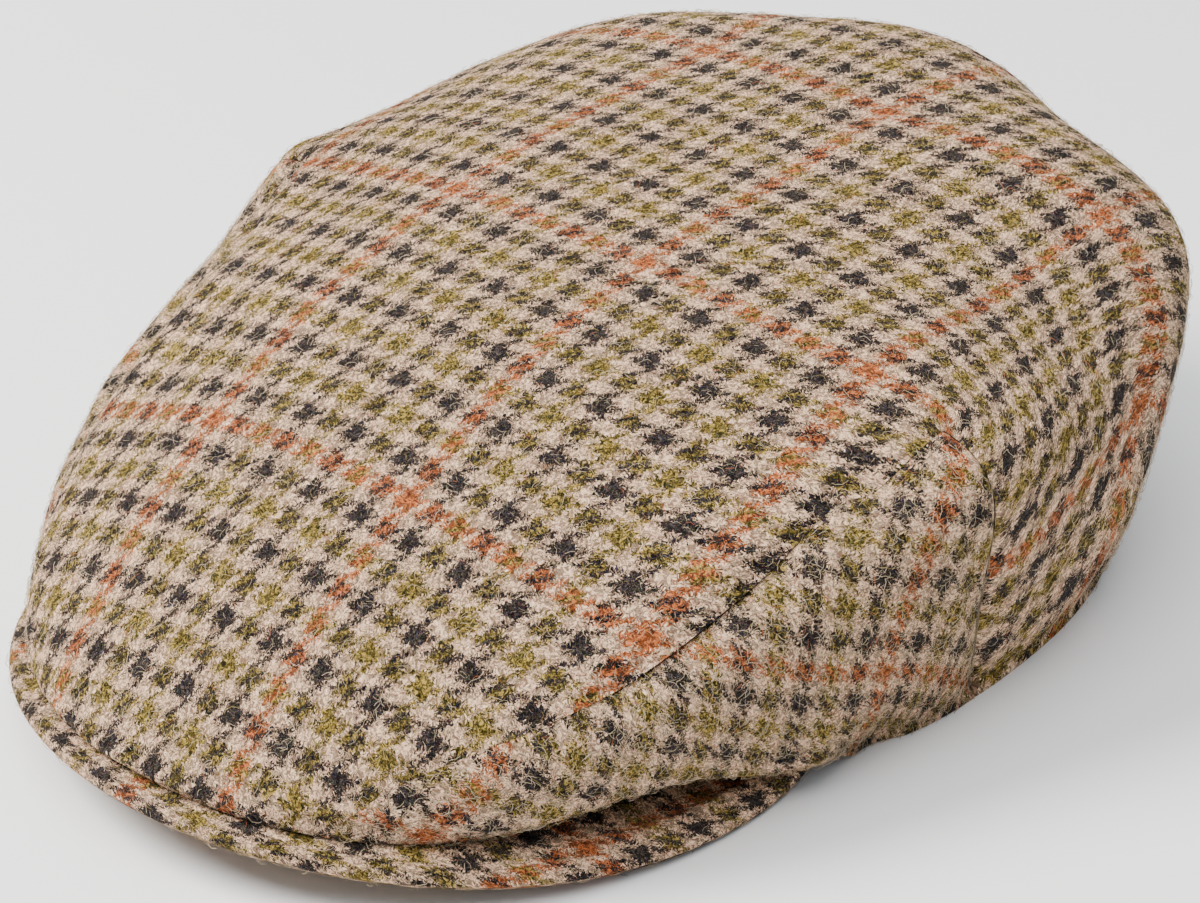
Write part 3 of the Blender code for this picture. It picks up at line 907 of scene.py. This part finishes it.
def wool_cloth(name, orange_across, orange_along):
    """Gun-club houndstooth in woollen yarns, read from the piece's own check coordinates."""
    cloth = Cloth(name)
    check = cloth.node("ShaderNodeUVMap", {"uv_map": "Weave"})
    a, b, _ = cloth.split(check)
    flat = cloth.join(a, b, 0.0)
    # yarns wander, and their fibres stray along their own length over the next yarns
    wander_a, wander_b, _ = cloth.split(cloth.noise(flat, WANDER_FINE, 0.0, output=1))
    curl_a, curl_b, _ = cloth.split(cloth.noise(flat, CURL_FINE, 0.0, output=1))
    bent_a, bent_b = a + CURL * (curl_a - 0.5), b + CURL * (curl_b - 0.5)
    stray_a, stray_b, lie, dye = 0.0, 0.0, 0.0, 0.0
    for index, degrees in enumerate(FIBRE_WAYS):
        way, side = math.cos(math.radians(degrees)), math.sin(math.radians(degrees))
        run = (bent_a * way + bent_b * side) * FIBRE_RUN
        over = (bent_b * way - bent_a * side) * FIBRE_OVER
        fibres = cloth.noise(cloth.join(run, over, 5.0 * index), 1.0, 1.0, output=1)
        strand, shine, tint = cloth.split(fibres)
        stray_a = (strand - 0.5) * (STRAY * way) + stray_a
        stray_b = (strand - 0.5) * (STRAY * side) + stray_b
        lie, dye = shine - 0.5 + lie, tint - 0.5 + dye
    yarn_a = YARNS * a + WANDER * (wander_a - 0.5) + stray_a
    yarn_b = YARNS * b + WANDER * (wander_b - 0.5) + stray_b
    warp_index, weft_index = yarn_a.floor(), yarn_b.floor()
    warp_up = (warp_index - weft_index) % TWILL < TWILL_UP
    warp_coloured = (yarn_a + COLOURED_YARNS / 2) % YARNS < COLOURED_YARNS
    weft_coloured = (yarn_b + COLOURED_YARNS / 2) % YARNS < COLOURED_YARNS
    warp_stripe = ((warp_index + YARNS / 2) / YARNS).floor()
    weft_stripe = ((weft_index + YARNS / 2) / YARNS).floor()
    # heathered dyes
    fleck_a, fleck_b, fleck_c = cloth.split(cloth.noise(flat, FLECK_FINE, 3.0, 0.8, output=1, rough=0.7))
    navy = cloth.mix(past(fleck_b + dye, 0.53, 7), NAVY, TEAL)
    navy = cloth.mix(past(fleck_a, 0.55, 9), navy, MAROON)
    navy = cloth.mix(past(dye * -1, 0.10, 6), navy, SLATE)
    olive = cloth.mix(past(fleck_c + dye, 0.52, 6), OLIVE, MOSS)
    olive = cloth.mix(past(fleck_b - dye, 0.48, 5), olive, MUSTARD)
    rust = cloth.mix(past(fleck_c + dye, 0.50, 5), RUST, RUST_DARK)
    cream = cloth.mix(past(fleck_a + dye, 0.35, 3), CREAM_ROSE, CREAM)
    cream = cloth.mix(past(dye, 0.15, 6), cream, BRAN)

    def dyed(stripe, every):
        plain = cloth.mix(stripe % 2, olive, navy)
        return cloth.mix(stripe % every < 0.5, plain, rust)

    warp = cloth.mix(warp_coloured, cream, dyed(warp_stripe, orange_across))
    weft = cloth.mix(weft_coloured, cream, dyed(weft_stripe, orange_along))
    yarn = cloth.mix(warp_up, weft, warp)
    # pale and dark fibres on top, and the painted shade between fibres and painted light on their tops
    grain = cloth.noise(flat, GRAIN_FINE, 2.0, 0.6) - 0.5
    thin = cloth.noise(cloth.join(bent_a, bent_b, 3.0), THIN_FINE, 1.0, 1.4) - 0.5
    pale_fibre = (1 - thin.size() * PALE_FINE) > 0.0
    haired = cloth.mix(pale_fibre * PALE_SHARE, yarn, PALE_FIBRE)
    # painted shade between the fibres and painted light on their tops, multiplied into the yarn colour
    painted_shade = SHADE - grain * SHADE_GRAIN - lie * SHADE_LIE
    tone = LIGHTEST - cloth.clamp(painted_shade, SHADE_MOST)
    lit = cloth.mix(1.0, haired, cloth.join(tone, tone, tone), "MULTIPLY")
    # relief: rounded yarns and fibres lying over them
    across, along = yarn_a - warp_index - 0.5, yarn_b - weft_index - 0.5
    relief = warp_up * (1 - 4 * across * across) + (1 - warp_up) * (1 - 4 * along * along)
    height = relief * YARN_RISE + grain * GRAIN_RISE + lie * LIE_RISE
    raised = cloth.node("ShaderNodeBump", {}, {"Strength": 0.8, "Distance": RELIEF, "Height": height})
    shader = cloth.node("ShaderNodeBsdfPrincipled", {}, {
        "Base Color": lit, "Roughness": 0.95, "Normal": raised, "Specular IOR Level": 0.02,
        "Sheen Weight": 0.04, "Sheen Roughness": 0.3, "Sheen Tint": (0.9, 0.8, 0.7, 1.0)})
    cloth.node("ShaderNodeOutputMaterial", {}, (shader,))
    return cloth.material


# Loose fibres: pale ones between two tones, and from these shares on olive, navy and rust ones
LOOSE_PALE = ((0.60, 0.47, 0.35), (0.44, 0.36, 0.18))
LOOSE_DYED = ((0.80, (0.30, 0.22, 0.06)), (0.90, (0.04, 0.04, 0.05)), (0.96, (0.42, 0.12, 0.04)))


def fuzz_material():
    """Loose wool fibres, each with its own tone."""
    cloth = Cloth("loose_wool")
    tone = cloth.node("ShaderNodeAttribute", {"attribute_name": "tone"}, (), 2)
    shade = cloth.mix(tone, *LOOSE_PALE)
    for start, colour in LOOSE_DYED:
        shade = cloth.mix(tone > start, shade, colour)
    shader = cloth.node("ShaderNodeBsdfPrincipled", {}, {
        "Base Color": shade, "Roughness": 0.7, "Specular IOR Level": 0.3})
    cloth.node("ShaderNodeOutputMaterial", {}, (shader,))
    return cloth.material


# ---------------------------------------------------------------- loose wool on the surface

# A fibre's thickness, the shares of its length that it may have, and how far it may lean in radians
FIBRE_THICK = 0.040 * MM
SHORTEST, LONGEST = 0.5, 1.3
LEAN = 0.4
# Curls of a fibre of length 1: sideways at its start, lift, sideways at its end
CURLS = ((0.36, 0.14, 0.20), (-0.28, 0.22, -0.14), (0.15, 0.32, -0.30))
TONE_SEED = 77


def fibre_tree():
    """Scatters short curled fibres over a surface."""
    tree = bpy.data.node_groups.new("loose_fibres", "GeometryNodeTree")
    inputs = (("Geometry", "NodeSocketGeometry", None), ("Per area", "NodeSocketFloat", 100000.0),
              ("Length", "NodeSocketFloat", 3 * MM), ("Thickness", "NodeSocketFloat", 0.06 * MM),
              ("Seed", "NodeSocketInt", 1), ("Material", "NodeSocketMaterial", None))
    for name, kind, value in inputs:
        socket = tree.interface.new_socket(name, in_out="INPUT", socket_type=kind)
        if value is not None:
            socket.default_value = value
    tree.interface.new_socket("Geometry", in_out="OUTPUT", socket_type="NodeSocketGeometry")

    def node(kind, settings=None, links=None):
        made = tree.nodes.new(kind)
        for name, value in (settings or {}).items():
            setattr(made, name, value)
        for name, value in (links or {}).items():
            if isinstance(value, bpy.types.NodeSocket):
                tree.links.new(value, made.inputs[name])
            else:
                made.inputs[name].default_value = value
        return made

    given = node("NodeGroupInput").outputs
    scatter = node("GeometryNodeDistributePointsOnFaces", {"distribute_method": "RANDOM"},
                   {"Mesh": given["Geometry"], "Density": given["Per area"], "Seed": given["Seed"]})
    curls = []
    for bend, lift, side in CURLS:
        curve = node("GeometryNodeCurvePrimitiveBezierSegment", {"mode": "OFFSET"},
                     {"Resolution": 3, "Start": (-0.5, 0, -0.03), "Start Handle": (0.25, bend, lift),
                      "End Handle": (-0.2, side, lift), "End": (0.42, 0.1, 0.05)})
        curls.append(curve.outputs[0])
    profile = node("GeometryNodeCurvePrimitiveCircle", {"mode": "RADIUS"}, {"Resolution": 3, "Radius": 1.0})
    thin = node("ShaderNodeMath", {"operation": "DIVIDE"}, {0: given["Thickness"], 1: given["Length"]})
    rings = node("GeometryNodeTransform", {}, {"Geometry": profile.outputs[0]})
    size = node("ShaderNodeCombineXYZ", {}, {0: thin.outputs[0], 1: thin.outputs[0], 2: thin.outputs[0]})
    tree.links.new(size.outputs[0], rings.inputs["Scale"])
    bunch = node("GeometryNodeGeometryToInstance")
    for curve in curls:
        strand = node("GeometryNodeCurveToMesh", {},
                      {"Curve": curve, "Profile Curve": rings.outputs[0], "Fill Caps": True})
        tree.links.new(strand.outputs[0], bunch.inputs[0])
    spin = node("FunctionNodeRandomValue", {"data_type": "FLOAT_VECTOR"},
                {0: (-LEAN, -LEAN, 0.0), 1: (LEAN, LEAN, 2 * math.pi), "Seed": given["Seed"]})
    turned = node("FunctionNodeRotateEuler", {"rotation_type": "EULER", "space": "LOCAL"},
                  {"Rotation": scatter.outputs["Rotation"], "Rotate By": spin.outputs[0]})
    length = node("FunctionNodeRandomValue", {"data_type": "FLOAT"},
                  {2: SHORTEST, 3: LONGEST, "Seed": given["Seed"]})
    scale = node("ShaderNodeMath", {"operation": "MULTIPLY"}, {0: length.outputs[1], 1: given["Length"]})
    placed = node("GeometryNodeInstanceOnPoints", {},
                  {"Points": scatter.outputs["Points"], "Instance": bunch.outputs[0], "Pick Instance": True,
                   "Rotation": turned.outputs[0], "Scale": scale.outputs[0]})
    tone = node("FunctionNodeRandomValue", {"data_type": "FLOAT"}, {2: 0.0, 3: 1.0, "Seed": TONE_SEED})
    kept = node("GeometryNodeStoreNamedAttribute", {"data_type": "FLOAT", "domain": "INSTANCE"},
                {"Geometry": placed.outputs[0], "Name": "tone", "Value": tone.outputs[1]})
    real = node("GeometryNodeRealizeInstances", {}, {"Geometry": kept.outputs[0]})
    dressed = node("GeometryNodeSetMaterial", {},
                   {"Geometry": real.outputs[0], "Material": given["Material"]})
    node("NodeGroupOutput", {}, {0: dressed.outputs[0]})
    return tree


def settle(piece):
    """The evaluated piece as a plain mesh, with no modifiers left."""
    evaluated = piece.evaluated_get(bpy.context.evaluated_depsgraph_get())
    mesh = bpy.data.meshes.new_from_object(evaluated)
    piece.modifiers.clear()
    piece.data = mesh
    mesh.name = piece.name
    return piece


def fuzz(name, surface, count, length, seed):
    """Loose fibres over one panel's outside, as a piece of their own."""
    area = sum(face.area for face in surface.polygons)
    piece = bpy.data.objects.new(name, surface.copy())
    bpy.context.scene.collection.objects.link(piece)
    grow = piece.modifiers.new("Fibres", "NODES")
    grow.node_group = FIBRES
    values = {"Per area": count / area, "Length": length, "Thickness": FIBRE_THICK, "Seed": seed,
              "Material": LOOSE_WOOL}
    for socket in FIBRES.interface.items_tree:
        if socket.in_out == "INPUT" and socket.name in values:
            grow[socket.identifier] = values[socket.name]
    return settle(piece)


# ---------------------------------------------------------------- making the cap

SEAM_LINES, DOWN_LINES, EDGE_LINES = {}, {}, {}
for side in (1, -1):
    SEAM_LINES[side] = line_points(lambda share: seam_place(SEAM, share), side)
    DOWN_LINES[side] = line_points(lambda share: seam_place(DOWN_SEAM, share), side)
    EDGE_LINES[side] = line_points(lambda share: at_edge(180 * share), side, 200)

FIBRES = fibre_tree()
LOOSE_WOOL = fuzz_material()
TOP_CLOTH = wool_cloth("checked_wool", ORANGE_ACROSS, ORANGE_ALONG)
SIDE_CLOTH = wool_cloth("checked_wool_sides", ORANGE_ACROSS, SIDE_ORANGE_ALONG)

top = sewn_sheet("crown_cloth", top_places(), (1, -1))
unwrap(top)
lay_check(top, TOP_PINS, 1)
left = sewn_sheet("side_cloth_left", side_places(), (1,))
unwrap(left)
lay_check(left, SIDE_PINS, 1)
right = sewn_sheet("side_cloth_right", side_places(), (-1,))
unwrap(right)
lay_check(right, [(turn, share, None if a is None else -a, b) for turn, share, a, b in SIDE_PINS], -1)
peak = peak_board()
shape_cloth(top, TOP_EDGE)
shape_cloth(left, SIDE_EDGE)
shape_cloth(right, SIDE_EDGE)

FIRST_SEED = 11
PIECES = (
    # piece, cloth, node, slot, then its fuzz pieces: name, count, length
    (top, TOP_CLOTH, "crown_top", "top_cloth",
     (("crown_fuzz", 9300, 2.6 * MM), ("crown_nap", 9300, 1.7 * MM))),
    (left, SIDE_CLOTH, "side_panel_left", "side_cloth", (("side_fuzz_left", 5000, 2.3 * MM),)),
    (right, SIDE_CLOTH, "side_panel_right", "side_cloth", (("side_fuzz_right", 5000, 2.3 * MM),)),
    (peak, TOP_CLOTH, "peak", "peak_cloth", (("peak_fuzz", 3000, 2.3 * MM),)),
)
seed = FIRST_SEED
for piece, cloth, node, slot, hairs in PIECES:
    piece.data.materials.clear()
    piece.data.materials.append(cloth)
    for name, count, length in hairs:
        hair = fuzz(name, piece.data, count, length, seed)
        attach(hair, "root")
        seed += 1
    if piece is not peak:
        thicken(piece, WALL)
        settle(piece)
        piece.data.set_sharp_from_angle(angle=HEM_ANGLE)
    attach(piece, "root")
    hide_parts(node)

# ---------------------------------------------------------------- floor, light and camera

FLOOR = 3
AIR_COLOUR, AIR_LEAST, AIR_MORE = (0.88, 0.94, 1.0, 1.0), 0.15, 1.25

floor_mesh = bpy.data.meshes.new("studio_floor")
floor_mesh.from_pydata([(-FLOOR, -FLOOR, 0), (FLOOR, -FLOOR, 0), (FLOOR, FLOOR, 0), (-FLOOR, FLOOR, 0)],
                       [], [(0, 1, 2, 3)])
floor = bpy.data.objects.new("studio_floor", floor_mesh)
bpy.context.scene.collection.objects.link(floor)
pale = Cloth("pale_floor")
matt = pale.node("ShaderNodeBsdfPrincipled", {}, {
    "Base Color": (0.94, 0.94, 0.94, 1.0), "Roughness": 0.8, "Specular IOR Level": 0.1})
pale.node("ShaderNodeOutputMaterial", {}, (matt,))
floor_mesh.materials.append(pale.material)

world = bpy.data.worlds.new("studio_air")
air = Nodes(world)
_, _, overhead = air.split(air.node("ShaderNodeTexCoord"))
glow = air.node("ShaderNodeBackground", {}, {
    "Color": AIR_COLOUR, "Strength": AIR_LEAST + AIR_MORE * (overhead * overhead)})
air.node("ShaderNodeOutputWorld", {}, (glow,))
bpy.context.scene.world = world


def softbox(name, spot, target, size, power, tint):
    """A round soft light, turned to its target."""
    light = bpy.data.lights.new(name, "AREA")
    light.shape = "DISK"
    light.size = size
    light.energy = power
    light.color = tint
    lamp = bpy.data.objects.new(name, light)
    lamp.location = spot
    lamp.rotation_mode = "QUATERNION"
    lamp.rotation_quaternion = (Vector(target) - Vector(spot)).to_track_quat("-Z", "Y")
    bpy.context.scene.collection.objects.link(lamp)


softbox("softbox_key", (-0.75, -0.75, 1.25), (0, 0, 0.04), 0.8, 51, (1.0, 0.965, 0.92))
softbox("softbox_top", (0.28, -0.40, 1.4), (0, 0, 0.05), 1.0, 15, (1.0, 0.98, 0.96))

# Camera: the place and aim found from the photograph, in metres and degrees
AZIMUTH, ELEVATION, DISTANCE = 41.7, 28.3, 0.576
AIM_RIGHT, AIM_UP = -9.9 * MM, -22.0 * MM
LENS, SENSOR = 81.96, 36
CENTRE_AHEAD, CENTRE_HEIGHT = 8.83 * MM, 45.0 * MM
az, el = math.radians(AZIMUTH), math.radians(ELEVATION)
centre = Vector((0, APEX_Y - CENTRE_AHEAD, CENTRE_HEIGHT))
back = Vector((math.sin(az) * math.cos(el), -math.cos(az) * math.cos(el), math.sin(el)))
right_way = Vector((math.cos(az), math.sin(az), 0))
up_way = back.cross(right_way)
eye = centre + back * DISTANCE
aim = centre + right_way * AIM_RIGHT + up_way * AIM_UP
lens = bpy.data.cameras.new("camera")
lens.lens = LENS
lens.sensor_width = SENSOR
lens.sensor_fit = "HORIZONTAL"
lens.clip_start = 0.01
camera = bpy.data.objects.new("camera", lens)
look = (eye - aim).normalized()
side_way = Vector((0, 0, 1)).cross(look).normalized()
camera.matrix_world = Matrix((
    (*side_way, 0), (*look.cross(side_way), 0), (*look, 0), (0, 0, 0, 1))).transposed()
camera.location = eye
bpy.context.scene.collection.objects.link(camera)
bpy.context.scene.camera = camera
